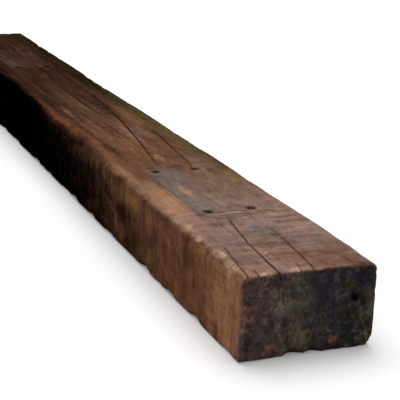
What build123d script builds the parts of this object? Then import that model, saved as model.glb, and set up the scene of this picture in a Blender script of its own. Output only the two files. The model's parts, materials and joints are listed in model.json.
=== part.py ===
"""A reclaimed hardwood railway sleeper: one sawn balk with its worn edges, rail seats, screw holes and splits.

X runs along the sleeper, Y across it and Z up. The origin is the middle of the underside.
All sizes are in millimetres.
"""

import os
from math import pi, sin, sqrt

from build123d import *

# The balk as it was sawn
LENGTH = 2500.0
WIDTH = 250.0
HEIGHT = 150.0

# Edges worn round by weather and handling
TOP_ARRIS_RADIUS = 9.0
BOTTOM_ARRIS_RADIUS = 7.0
END_ARRIS_RADIUS = 5.0

# Wane: the long hollow where the log's own round edge was left on one top arris
WANE_LENGTH = 900.0
WANE_SETBACK = 30.0
WANE_CENTRE = 200.0

# Rails: one seat under each, half a rail spacing from the middle
GAUGE = 1435.0
RAIL_HEAD_WIDTH = 72.0

# Rail seat: the bed that the baseplate has pressed into the top face
SEAT_LENGTH = 330.0
SEAT_WIDTH = 136.0
SEAT_DEPTH = 3.0
SEAT_CORNER_RADIUS = 8.0
SEAT_OFFSET = 7.0

# Screw holes, bored right through, four to a seat
SCREW_HOLE_DIAMETER = 21.0
SCREW_SPACING_ALONG = 290.0
SCREW_SPACING_ACROSS = 88.0

# Ballast bites: the dents that stones have worn into the lower edges
BITE_RADIUS = 80.0
BITE_DEPTH = 12.0
BITE_PITCH = 170.0
END_BITE_RADIUS = 17.0
END_BITE_DEPTH = 9.0
END_BITE_PITCH = 42.0
END_BITE_COUNT = 2

# Knot hole: the tapered pit that a small knot has left in the near end
KNOT_ACROSS = 85.0
KNOT_HEIGHT = 91.0
KNOT_DEPTH = 11.0
KNOT_MOUTH_RADIUS = 6.5
KNOT_ROOT_RADIUS = 2.0

# Splits: stations along each one, the width that closes it at a tip, and the depth there
SPLIT_STATIONS = 5
SPLIT_TIP_WIDTH = 0.6
SPLIT_TIP_DEPTH = 3.0

# End splits: which end, reach from that end, offset across at the end and at the tip, mouth, depth, lean.
# The lean is how far the split's root lies to the side of its mouth.
END_SPLITS = [
    (1, 285.0, -58.0, -23.0, 4.0, 138.0, 33.0),
    (1, 216.0, 6.0, 30.0, 2.6, 55.0, -4.0),
    (1, 145.0, -113.0, -93.0, 1.8, 26.0, 3.0),
    (1, 28.0, -94.0, -90.0, 1.3, 8.0, 0.0),
    (1, 42.0, -17.0, -10.0, 1.3, 7.0, 0.0),
    (-1, 240.0, 34.0, 15.0, 3.4, 92.0, -18.0),
    (-1, 170.0, -40.0, -58.0, 2.4, 48.0, 6.0),
]

# Face splits: middle along, length, offset across at each tip, sideways bow, mouth, depth
FACE_SPLITS = [
    (209.0, 748.0, 59.0, -21.0, 11.0, 3.2, 45.0),
    (-55.0, 380.0, 8.0, 14.0, -8.0, 2.2, 26.0),
    (430.0, 340.0, 81.0, 49.0, 1.0, 2.2, 28.0),
    (-420.0, 190.0, 26.0, 2.0, 0.0, 1.8, 18.0),
    (-460.0, 128.0, 56.0, 60.0, 0.0, 1.8, 14.0),
]

# Cutters stand this far out of the face that they cut
CUT_MARGIN = 2.0


def sawn_balk() -> Part:
    """The balk with its four long arrises and its end edges worn round."""
    end = Plane.YZ.offset(-LENGTH / 2)
    section = Pos(0, HEIGHT / 2) * Rectangle(WIDTH, HEIGHT)
    lower_corners = section.vertices().sort_by(Axis.Y)[:2]
    section = fillet(lower_corners, BOTTOM_ARRIS_RADIUS)
    upper_corners = section.vertices().sort_by(Axis.Y)[-2:]
    section = fillet(upper_corners, TOP_ARRIS_RADIUS)
    balk = extrude(end * section, LENGTH)
    end_edges = balk.faces().sort_by(Axis.X)[0].edges() + balk.faces().sort_by(Axis.X)[-1].edges()
    return fillet(end_edges, END_ARRIS_RADIUS)


def wane_cutter() -> Part:
    """A cylinder so large that it planes one top arris down to a long shallow hollow."""
    depth = WANE_SETBACK / sqrt(2)
    radius = WANE_LENGTH**2 / (8 * depth) + depth / 2
    arris = Vector(WANE_CENTRE, -WIDTH / 2, HEIGHT)
    outward = Vector(0, -1, 1).normalized()
    across = Vector(0, 1, 1).normalized()
    axis = Plane(origin=arris + outward * (radius - depth), x_dir=(1, 0, 0), z_dir=across)
    return axis * Cylinder(radius, WANE_SETBACK * 4)


def seat_centres() -> list[Vector]:
    """The middle of each rail seat, on the top face."""
    half_spacing = (GAUGE + RAIL_HEAD_WIDTH) / 2
    return [Vector(side * half_spacing, SEAT_OFFSET, HEIGHT) for side in (-1, 1)]


def seat_cutter(centre: Vector) -> Part:
    """The shallow bed of one baseplate."""
    bed = RectangleRounded(SEAT_LENGTH, SEAT_WIDTH, SEAT_CORNER_RADIUS)
    floor = Plane(origin=centre - Vector(0, 0, SEAT_DEPTH))
    return extrude(floor * bed, SEAT_DEPTH + CUT_MARGIN)


def screw_cutters(centre: Vector) -> list[Part]:
    """The four screw holes of one seat."""
    middle = Vector(centre.X, centre.Y, HEIGHT / 2)
    bore = Cylinder(SCREW_HOLE_DIAMETER / 2, HEIGHT + 2 * CUT_MARGIN)
    places = GridLocations(SCREW_SPACING_ALONG, SCREW_SPACING_ACROSS, 2, 2)
    return [Pos(middle) * place * bore for place in places]


def bite_share(number: int) -> float:
    """An uneven share from 0 to 1, different for each bite and the same every time."""
    golden_ratio = 0.618034
    return (number * golden_ratio) % 1


def bite_cutter(edge_point: Vector, outward: Vector, radius: float, depth: float) -> Part:
    """A ball that takes a scallop of that depth out of an edge."""
    centre = edge_point + outward.normalized() * (radius - depth)
    return Pos(centre) * Sphere(radius)


def long_edge_bites() -> list[Part]:
    """The bites along both lower arrises."""
    bites = []
    count = int(LENGTH // BITE_PITCH)
    for side in (-1, 1):
        for number in range(count):
            uneven = bite_share(number + count * (side + 1))
            along = (number - (count - 1) / 2 + (uneven - 0.5) / 2) * BITE_PITCH
            depth = BITE_DEPTH * (0.6 + 0.4 * uneven)
            point = Vector(along, side * WIDTH / 2, 0)
            bites.append(bite_cutter(point, Vector(0, side, -1), BITE_RADIUS, depth))
    return bites


def end_edge_bites() -> list[Part]:
    """The smaller bites along the lower edge of each end."""
    bites = []
    for end in (-1, 1):
        for number in range(END_BITE_COUNT):
            uneven = bite_share(number + END_BITE_COUNT * (end + 1))
            across = (number - (END_BITE_COUNT - 1) / 2 + (uneven - 0.5) / 2) * END_BITE_PITCH
            depth = END_BITE_DEPTH * (0.8 + 0.2 * uneven)
            point = Vector(end * LENGTH / 2, across, 0)
            bites.append(bite_cutter(point, Vector(end, 0, -1), END_BITE_RADIUS, depth))
    return bites


def knot_cutter() -> Part:
    """The tapered pit in the near end, as a cone that runs on a little past the face."""
    root = Vector(LENGTH / 2 - KNOT_DEPTH, KNOT_ACROSS, KNOT_HEIGHT)
    rise = 1 + CUT_MARGIN / KNOT_DEPTH
    outer_radius = KNOT_ROOT_RADIUS + (KNOT_MOUTH_RADIUS - KNOT_ROOT_RADIUS) * rise
    pit = Cone(KNOT_ROOT_RADIUS, outer_radius, KNOT_DEPTH * rise, align=(Align.CENTER, Align.CENTER, Align.MIN))
    return Plane(origin=root, z_dir=(1, 0, 0)) * pit


def split_section(along: float, across: float, width: float, depth: float, lean: float) -> Face:
    """The wedge that a split opens at one place: its mouth on the top face and its root below."""
    rise = 1 + CUT_MARGIN / depth
    mouth = [(across + side * width / 2 * rise - lean * (rise - 1), HEIGHT + CUT_MARGIN) for side in (-1, 1)]
    root = (across + lean, HEIGHT - depth)
    return Plane.YZ.offset(along) * make_face(Polyline(*mouth, root, close=True))


def end_split_cutter(end, reach, mouth_offset, tip_offset, mouth, depth, lean) -> Part:
    """A split that is open at one end of the sleeper and closes to a tip on the top face."""
    sections = []
    for station in range(SPLIT_STATIONS):
        share = station / (SPLIT_STATIONS - 1)
        opening = sqrt(1 - share)
        along = end * (LENGTH / 2 + CUT_MARGIN - share * (reach + CUT_MARGIN))
        across = mouth_offset + (tip_offset - mouth_offset) * share
        width = SPLIT_TIP_WIDTH + (mouth - SPLIT_TIP_WIDTH) * opening
        deep = SPLIT_TIP_DEPTH + (depth - SPLIT_TIP_DEPTH) * opening
        sections.append(split_section(along, across, width, deep, lean * opening))
    return loft(sections, ruled=True)


def face_split_cutter(middle, length, start_offset, end_offset, bow, mouth, depth) -> Part:
    """A split that closes to a tip at both of its ends on the top face."""
    sections = []
    for station in range(SPLIT_STATIONS):
        share = station / (SPLIT_STATIONS - 1)
        opening = sin(pi * share)
        along = middle + (share - 0.5) * length
        across = start_offset + (end_offset - start_offset) * share + bow * opening
        width = SPLIT_TIP_WIDTH + (mouth - SPLIT_TIP_WIDTH) * opening
        deep = SPLIT_TIP_DEPTH + (depth - SPLIT_TIP_DEPTH) * opening
        sections.append(split_section(along, across, width, deep, 0))
    return loft(sections, ruled=True)


def sleeper() -> Part:
    """The finished sleeper: the balk less its wane, knot hole, seats, screw holes, bites and splits."""
    cutters = [wane_cutter(), knot_cutter()]
    for centre in seat_centres():
        cutters.append(seat_cutter(centre))
        cutters.extend(screw_cutters(centre))
    cutters.extend(long_edge_bites())
    cutters.extend(end_edge_bites())
    cutters.extend(end_split_cutter(*split) for split in END_SPLITS)
    cutters.extend(face_split_cutter(*split) for split in FACE_SPLITS)
    return sawn_balk() - cutters


os.makedirs("parts", exist_ok=True)
export_step(sleeper(), "parts/sleeper.step")
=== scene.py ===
"""A reclaimed hardwood railway sleeper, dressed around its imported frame.

X runs along the sleeper, Y across it and Z up, as in the frame, and the origin is the middle of the
underside. Sizes are in millimetres unless a name says otherwise. Each shape tree works in millimetres
and brings its result to metres at its end. The balk's own tree works about the balk's middle until then.
"""

import json
import logging
import math
from dataclasses import dataclass
from enum import Enum
from typing import Any, Callable, Optional, Sequence, Union

import bmesh
import bpy
from mathutils import Matrix, Vector


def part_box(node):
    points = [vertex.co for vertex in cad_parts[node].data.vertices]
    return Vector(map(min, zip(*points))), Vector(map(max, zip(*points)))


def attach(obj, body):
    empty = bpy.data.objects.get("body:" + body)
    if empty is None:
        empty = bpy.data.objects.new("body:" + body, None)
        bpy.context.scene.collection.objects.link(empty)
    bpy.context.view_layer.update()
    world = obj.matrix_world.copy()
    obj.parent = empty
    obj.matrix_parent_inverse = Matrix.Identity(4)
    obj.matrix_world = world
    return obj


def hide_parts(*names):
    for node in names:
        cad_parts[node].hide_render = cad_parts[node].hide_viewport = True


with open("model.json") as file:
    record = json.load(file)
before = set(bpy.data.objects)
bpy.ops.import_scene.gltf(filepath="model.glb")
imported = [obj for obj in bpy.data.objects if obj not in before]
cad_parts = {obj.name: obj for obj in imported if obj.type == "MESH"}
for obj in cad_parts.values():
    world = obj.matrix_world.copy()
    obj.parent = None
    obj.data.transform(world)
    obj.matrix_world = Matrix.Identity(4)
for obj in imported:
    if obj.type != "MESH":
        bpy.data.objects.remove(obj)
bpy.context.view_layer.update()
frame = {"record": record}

LOG = logging.getLogger("sleeper")
NODE = "sleeper"
METRES = 0.001
ROOT_HALF = math.sqrt(0.5)
GOLDEN_SHARE = 0.618034

Span = tuple[float, float]
Triple = tuple[float, float, float]
Paint = tuple[float, float, float, float]
Sockets = dict[Union[str, int], Any]
Settings = dict[str, Any]
Material = bpy.types.Material
Thing = bpy.types.Object


def paint(red: int, green: int, blue: int) -> Paint:
    """A colour as the eye reads it, given as the linear colour that a shader takes.

    Args:
        red: the red part, from 0 to 255.
        green: the green part.
        blue: the blue part.

    Returns:
        The linear colour, with no part of it see-through.
    """
    straight_below, slope, lift, power = 0.04045, 12.92, 0.055, 2.4
    shares = [part / 255 for part in (red, green, blue)]
    linear = [share / slope if share <= straight_below else ((share + lift) / (1 + lift)) ** power
              for share in shares]
    return (linear[0], linear[1], linear[2], 1.0)


def operator(operation: str, swapped: bool = False) -> Callable[["Wire", "Value"], "Wire"]:
    """Makes one of a wire's operators.

    Args:
        operation: the Math node's operation.
        swapped: whether the other value comes first.

    Returns:
        The operator, as a method.
    """
    def applied(wire: "Wire", other: "Value") -> "Wire":
        """The result of the operation on the wire and the other value."""
        return wire.graph.maths(operation, *((other, wire) if swapped else (wire, other)))
    return applied


class Wire:
    """One output of a node, with arithmetic on values that adds Math nodes to its tree."""

    def __init__(self, graph: "Graph", socket: bpy.types.NodeSocket) -> None:
        """Holds the socket and the graph that it belongs to."""
        self.graph = graph
        self.socket = socket

    def __abs__(self) -> "Wire":
        """The size of the value without its sign."""
        return self.graph.maths("ABSOLUTE", self)

    __add__ = operator("ADD")
    __radd__ = operator("ADD", swapped=True)
    __sub__ = operator("SUBTRACT")
    __rsub__ = operator("SUBTRACT", swapped=True)
    __mul__ = operator("MULTIPLY")
    __rmul__ = operator("MULTIPLY", swapped=True)
    __truediv__ = operator("DIVIDE")
    __rtruediv__ = operator("DIVIDE", swapped=True)
    __pow__ = operator("POWER")
    least = operator("MINIMUM")
    most = operator("MAXIMUM")


Value = Union[Wire, float]
Colour = Union[Wire, Paint]


@dataclass(frozen=True)
class Grain:
    """A cloudy noise.

    The cell is the length of one patch along each axis. Detail is how many finer layers there are, and
    roughness how strong they are. The seed moves the pattern, so that no two noises are alike. The amount is
    what the result is multiplied with, and the span is where a mask of it begins and where it is whole.
    """

    cell: Triple
    detail: float = 2.0
    roughness: float = 0.5
    seed: float = 0.0
    amount: float = 1.0
    span: Span = (0.0, 1.0)


class Graph:
    """A node tree in the making, and the one place that adds nodes to it."""

    SEED_STEP = (1.7, 2.3, 3.1)
    NOISE_MIDDLE = 0.5
    WEAR_START = 0.3

    def __init__(self, tree: bpy.types.NodeTree) -> None:
        """Starts on an empty tree."""
        self.tree = tree
        self.tree.nodes.clear()

    def node(self, kind: str, settings: Optional[Settings] = None,
             sockets: Optional[Sockets] = None) -> bpy.types.Node:
        """Adds one node.

        Args:
            kind: the node's type.
            settings: its own properties, which are set first.
            sockets: a wire or a plain value for each input, by the input's identifier or its number.

        Returns:
            The new node.
        """
        made = self.tree.nodes.new(kind)
        for name, value in (settings or {}).items():
            setattr(made, name, value)
        for key, value in (sockets or {}).items():
            by_name = (socket for socket in made.inputs if socket.identifier == key)
            socket = made.inputs[key] if isinstance(key, int) else next(by_name)
            if isinstance(value, Wire):
                self.tree.links.new(value.socket, socket)
            else:
                socket.default_value = value
        return made

    def wire(self, kind: str, settings: Optional[Settings] = None, sockets: Optional[Sockets] = None,
             output: Union[str, int] = 0) -> Wire:
        """Adds one node and takes one of its outputs.

        Args:
            kind: the node's type.
            settings: its own properties.
            sockets: a wire or a plain value for each input.
            output: the output's identifier or its number.

        Returns:
            The output as a wire.
        """
        made = self.node(kind, settings, sockets)
        if isinstance(output, int):
            return Wire(self, made.outputs[output])
        return Wire(self, next(socket for socket in made.outputs if socket.identifier == output))

    def maths(self, operation: str, *operands: Value) -> Wire:
        """A Math node on values."""
        return self.wire("ShaderNodeMath", {"operation": operation}, dict(enumerate(operands)))

    def vector(self, x: Value, y: Value, z: Value) -> Wire:
        """A vector from its three parts."""
        return self.wire("ShaderNodeCombineXYZ", sockets={"X": x, "Y": y, "Z": z})

    def vector_maths(self, operation: str, *operands: Union[Wire, Triple], output: str = "Vector") -> Wire:
        """A Vector Math node on vectors."""
        return self.wire("ShaderNodeVectorMath", {"operation": operation}, dict(enumerate(operands)), output)

    def scaled(self, vector: Wire, scale: Value) -> Wire:
        """A vector or a colour times a value."""
        return self.wire("ShaderNodeVectorMath", {"operation": "SCALE"}, {"Vector": vector, "Scale": scale})

    def axes(self, vector: Wire) -> tuple[Wire, ...]:
        """The three parts of a vector."""
        parted = self.node("ShaderNodeSeparateXYZ", sockets={0: vector})
        return tuple(Wire(self, part) for part in parted.outputs)

    def smooth(self, value: Wire, start: float, end: float) -> Wire:
        """A soft step: 0 where the value is at start, 1 where it is at end."""
        sockets = {"Value": value, "From Min": start, "From Max": end}
        return self.wire("ShaderNodeMapRange", {"interpolation_type": "SMOOTHSTEP"}, sockets)

    def noise(self, place: Wire, grain: Grain) -> Wire:
        """A noise as it is, about 0.5 and mostly between 0.25 and 0.75.

        Args:
            place: where to read it, in millimetres.
            grain: what it is like.

        Returns:
            The noise, without its amount.
        """
        per_cell = tuple(1 / length for length in grain.cell)
        offset = tuple(grain.seed * step for step in self.SEED_STEP)
        moved = self.vector_maths("MULTIPLY_ADD", place, per_cell, offset)
        sockets = {"Vector": moved, "Scale": 1.0, "Detail": grain.detail, "Roughness": grain.roughness}
        return self.wire("ShaderNodeTexNoise", sockets=sockets)

    def sway(self, place: Wire, grain: Grain) -> Wire:
        """A noise about 0, times its amount."""
        return (self.noise(place, grain) - self.NOISE_MIDDLE) * grain.amount

    def wear(self, place: Wire, grain: Grain) -> Wire:
        """A noise without its lowest part, times its amount, so that some of the skin stays whole."""
        return (self.noise(place, grain) - self.WEAR_START).most(0) * grain.amount

    def patches(self, place: Wire, grain: Grain) -> Wire:
        """A noise pulled out to a soft mask of scattered patches, times its amount."""
        return self.smooth(self.noise(place, grain), *grain.span) * grain.amount

    def seen_straight(self) -> Wire:
        """Tells what is seen from what only gives light.

        Returns:
            1 for what the camera sees, also in a mirror or through glass, and 0 for the rest.
        """
        rays = self.node("ShaderNodeLightPath")
        camera, glossy, through = [
            Wire(self, rays.outputs["Is %s Ray" % kind]) for kind in ("Camera", "Glossy", "Transmission")]
        return camera.most(glossy).most(through)


def placed(name: str, data: bpy.types.ID) -> Thing:
    """Puts a new object into the scene.

    Args:
        name: the object's name.
        data: its mesh, light or camera.

    Returns:
        The object, at the origin.
    """
    made = bpy.data.objects.new(name, data)
    bpy.context.scene.collection.objects.link(made)
    return made


def settle(holder: Thing) -> None:
    """Turns what an object's modifiers make into its own plain mesh.

    Args:
        holder: the object, which loses its modifiers.
    """
    bpy.context.view_layer.update()
    depsgraph = bpy.context.evaluated_depsgraph_get()
    shown = holder.evaluated_get(depsgraph)
    mesh = bpy.data.meshes.new_from_object(shown, preserve_all_data_layers=True, depsgraph=depsgraph)
    holder.modifiers.clear()
    holder.data = mesh
    mesh.name = holder.name


class ShapeGraph(Graph):
    """A Geometry Nodes tree with named inputs, which ends in Realize Instances and Set Material."""

    def __init__(self, name: str) -> None:
        """Starts a tree with one shape as its output.

        Args:
            name: what the tree is called.
        """
        super().__init__(bpy.data.node_groups.new(name, "GeometryNodeTree"))
        self.tree.interface.new_socket("Shape", in_out="OUTPUT", socket_type="NodeSocketGeometry")
        self.entry = self.node("NodeGroupInput")
        self.settings: dict[str, Any] = {}

    def input(self, name: str, value: Any, kind: str = "NodeSocketFloat") -> Wire:
        """Adds a named input.

        Args:
            name: what the input is called.
            value: what the modifier sets it to.
            kind: its socket type.

        Returns:
            The input's wire.
        """
        made = self.tree.interface.new_socket(name, in_out="INPUT", socket_type=kind)
        self.settings[made.identifier] = value
        by_name = (socket for socket in self.entry.outputs if socket.identifier == made.identifier)
        return Wire(self, next(by_name))

    def inputs(self, source: Any, *names: str) -> list[Wire]:
        """A named input for each of these sizes of a part."""
        return [self.input(name.capitalize(), getattr(source, name)) for name in names]

    def shape_of(self, name: str, holder: Thing) -> Wire:
        """The shape of another object, as a named input."""
        sockets = {"Object": self.input(name, holder, "NodeSocketObject")}
        return self.wire("GeometryNodeObjectInfo", sockets=sockets, output="Geometry")

    def block(self, along: int, across: int, up: int) -> Wire:
        """A cube from -1 to 1, with this many points along each axis."""
        sockets = {"Size": (2, 2, 2), "Vertices X": along, "Vertices Y": across, "Vertices Z": up}
        return self.wire("GeometryNodeMeshCube", sockets=sockets)

    def strewn(self, points: Wire, shape: Wire, **more: Value) -> Wire:
        """The shape at each point, as one mesh, with any other inputs by their names."""
        copies = self.wire("GeometryNodeInstanceOnPoints",
                           sockets={"Points": points, "Instance": shape, **more})
        return self.wire("GeometryNodeRealizeInstances", sockets={"Geometry": copies})

    def nearest(self, element: str, target: Wire, place: Wire) -> tuple[Wire, Wire]:
        """The nearest place on a target, and how far off it is.

        Args:
            element: what is measured to, POINTS or FACES.
            target: the shape that is measured to.
            place: where to measure from.

        Returns:
            The place and the distance.
        """
        sockets = {"Target": target, "Source Position": place}
        near = self.node("GeometryNodeProximity", {"target_element": element}, sockets)
        return Wire(self, near.outputs["Position"]), Wire(self, near.outputs["Distance"])

    def position(self) -> Wire:
        """The place of each point."""
        return self.wire("GeometryNodeInputPosition")

    def moved(self, shape: Wire, place: Wire) -> Wire:
        """The shape with each point at a new place."""
        return self.wire("GeometryNodeSetPosition", sockets={"Geometry": shape, "Position": place})

    def kept(self, shape: Wire, name: str, kind: str, value: Wire) -> Wire:
        """The shape with a value kept on each face corner, under a name that its finish reads."""
        return self.wire("GeometryNodeStoreNamedAttribute", {"data_type": kind, "domain": "CORNER"},
                         {"Geometry": shape, "Name": name, 3: value})

    def grown(self, shape: Wire, finish: Material, name: str) -> Thing:
        """Ends the tree and runs it on an object of its own.

        Args:
            shape: what the tree has made.
            finish: the material that the shape gets.
            name: the object's name.

        Returns:
            The object, with the result as its plain mesh.
        """
        material = self.input("Finish", finish, "NodeSocketMaterial")
        whole = self.wire("GeometryNodeRealizeInstances", sockets={"Geometry": shape})
        dressed = self.wire("GeometryNodeSetMaterial", sockets={"Geometry": whole, "Material": material})
        self.node("NodeGroupOutput", sockets={0: dressed})
        holder = placed(name, bpy.data.meshes.new(name))
        modifier = holder.modifiers.new("shape", "NODES")
        modifier.node_group = self.tree
        for identifier, value in self.settings.items():
            modifier[identifier] = value
        settle(holder)
        return holder

    def in_metres(self, shape: Wire, place: Wire) -> Wire:
        """The shape with each point at a place that is given in millimetres."""
        return self.moved(shape, self.scaled(place, METRES))


class ShaderGraph(Graph):
    """A material's tree."""

    def __init__(self, name: str) -> None:
        """Starts a material.

        Args:
            name: what the material is called.
        """
        self.material = bpy.data.materials.new(name)
        self.material.use_nodes = True
        super().__init__(self.material.node_tree)

    def place(self) -> Wire:
        """The place on the piece, in millimetres."""
        return self.scaled(self.wire("ShaderNodeTexCoord", output="Object"), 1 / METRES)

    def kept(self, name: str, output: str) -> Wire:
        """A value that the shape tree kept on the mesh."""
        settings = {"attribute_type": "GEOMETRY", "attribute_name": name}
        return self.wire("ShaderNodeAttribute", settings, output=output)

    def tint(self, share: Value, under: Colour, over: Colour, mode: str = "MIX") -> Wire:
        """One colour laid over another.

        Args:
            share: how much of the upper colour shows.
            under: the lower colour.
            over: the upper colour.
            mode: how the upper colour acts on the lower one.

        Returns:
            The colour that results.
        """
        settings = {"data_type": "RGBA", "blend_type": mode, "clamp_factor": True}
        sockets = {"Factor_Float": share, "A_Color": under, "B_Color": over}
        return self.wire("ShaderNodeMix", settings, sockets, "Result_Color")

    def warped(self, place: Wire, cell: float, reach: float, seed: float) -> Wire:
        """A place moved about by noise, so that what is drawn there gets an uneven edge.

        Args:
            place: the place, in millimetres.
            cell: the length of one patch of the noise.
            reach: how far the noise can move the place, about half of it each way.
            seed: moves the noise.

        Returns:
            The moved place.
        """
        moved = self.vector_maths("MULTIPLY_ADD", place, (1 / cell,) * 3, (seed,) * 3)
        sockets = {"Vector": moved, "Scale": 1.0, "Detail": 3.0, "Roughness": 0.6}
        cloud = self.wire("ShaderNodeTexNoise", sockets=sockets, output="Color")
        back = self.vector_maths("ADD", place, (-reach / 2,) * 3)
        return self.vector_maths("MULTIPLY_ADD", cloud, (reach,) * 3, back)

    def bumped(self, height: Wire, depth: float, strength: float) -> Wire:
        """A normal that follows a height from 0 to 1, over a depth in millimetres."""
        sockets = {"Height": height, "Distance": depth * METRES, "Strength": strength}
        return self.wire("ShaderNodeBump", sockets=sockets)

    def close(self, colour: Wire, roughness: Wire, normal: Wire, gloss: float) -> Material:
        """Ends the tree in one surface.

        Args:
            colour: the surface's colour.
            roughness: how dull it is.
            normal: its fine relief.
            gloss: the strength of its reflections, the same all over.

        Returns:
            The material.
        """
        surface = self.wire("ShaderNodeBsdfPrincipled", sockets={
            "Base Color": colour, "Roughness": roughness, "Normal": normal, "Specular IOR Level": gloss})
        self.node("ShaderNodeOutputMaterial", sockets={"Surface": surface})
        return self.material


class Kept(Enum):
    """What the shape tree keeps on the mesh for the finish to read."""

    FACING = "facing"
    HOLLOW = "hollow"
    SPLIT_GAP = "split_gap"


@dataclass(frozen=True)
class Seat:
    """One rail seat: the bed of a baseplate and its four screw holes."""

    middle: float
    offset: float
    spacing_along: float
    spacing_across: float
    hole_radius: float

    def holes(self) -> list[Span]:
        """The places of the four screw holes, along and across."""
        return [(self.middle + along * self.spacing_along / 2, self.offset + across * self.spacing_across / 2)
                for along in (-1, 1) for across in (-1, 1)]


def seats_of(record: dict[str, Any]) -> list[Seat]:
    """Reads the rail seats from the record's bolt patterns.

    Args:
        record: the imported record.

    Returns:
        The seats, in the record's order.
    """
    seats = []
    for mount in record["mounts"]:
        if mount["kind"] == "bolt_pattern":
            dims = mount["dims"]
            middle, offset = [part / METRES for part in mount["pos_m"][:2]]
            seats.append(Seat(middle, offset, dims["spacing_x_mm"], dims["spacing_y_mm"], dims["hole_r_mm"]))
    return seats


class SplitKind(Enum):
    """How a split ends: open at the sleeper's end, or closed at both of its tips."""

    END = "end"
    FACE = "face"


@dataclass(frozen=True)
class Split:
    """One drying split in the top face, from its first point along the sleeper to its last."""

    kind: SplitKind
    start: float
    stop: float
    start_offset: float
    stop_offset: float
    mouth: float
    depth: float
    bow: float = 0.0
    lean: float = 0.0
    seed: float = 0.0

    STATION = 8.0
    LEVELS = 7
    MARGIN = 4.0
    HAIR = {SplitKind.END: 0.75, SplitKind.FACE: 0.25}
    ROOT_WIDTH = 0.2
    SHOULDER = 4.0
    PINCH = 2.5
    TIP_DEPTH = 3.0
    TIP_SHARE = 0.25
    WANDER = 3.4
    JAG = 1.8
    LEAST_GAPE = 0.55
    GAPE = 0.9
    SEED_APART = 900

    def cutter(self, height: float, finish: Material) -> Thing:
        """Makes the wedge that opens this split.

        Args:
            height: the height of the top face.
            finish: the material of the split's walls.

        Returns:
            The cutter, in its place.
        """
        graph = ShapeGraph("split")
        start, stop, mouth, depth, lean, bow = graph.inputs(
            self, "start", "stop", "mouth", "depth", "lean", "bow")
        block = graph.block(int(abs(self.stop - self.start) / self.STATION) + 2, 2, self.LEVELS)
        along, side, level = graph.axes(graph.position())
        share = (along + 1) / 2
        if self.kind is SplitKind.FACE:
            opening = graph.maths("SINE", share * math.pi).most(0)
        else:
            closed = share if self.start < 0 else 1 - share
            opening = graph.maths("SQRT", 1 - closed)
        reach = self.TIP_DEPTH + (depth - self.TIP_DEPTH) * opening
        sunk = (1 - level) / 2 * (reach + self.MARGIN) - self.MARGIN
        deep = (sunk / reach).most(0)
        x = start + (stop - start) * share
        place = graph.vector(x, self.seed * self.SEED_APART, sunk)
        wander = graph.sway(place, Grain((85, 60, 60), seed=self.seed, amount=self.WANDER))
        jag = graph.sway(place, Grain((15, 60, 17), 2, 0.6, self.seed + 5, self.JAG))
        gape = self.LEAST_GAPE + self.GAPE * graph.noise(place, Grain((34, 60, 40), seed=self.seed + 9))
        pinched = graph.maths("EXPONENT", (sunk - self.SHOULDER).most(0) / -self.PINCH)
        width = mouth * (self.TIP_SHARE + (1 - self.TIP_SHARE) * opening) * gape * pinched
        width = width + self.HAIR[self.kind] * (1 - deep) + self.ROOT_WIDTH
        middle = self.start_offset + (self.stop_offset - self.start_offset) * share
        bend = bow * graph.maths("SINE", share * math.pi)
        y = middle + bend + lean * opening * deep + wander + jag + side * width / 2
        return graph.grown(graph.in_metres(block, graph.vector(x, y, height - sunk)), finish, "split_cutter")


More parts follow.
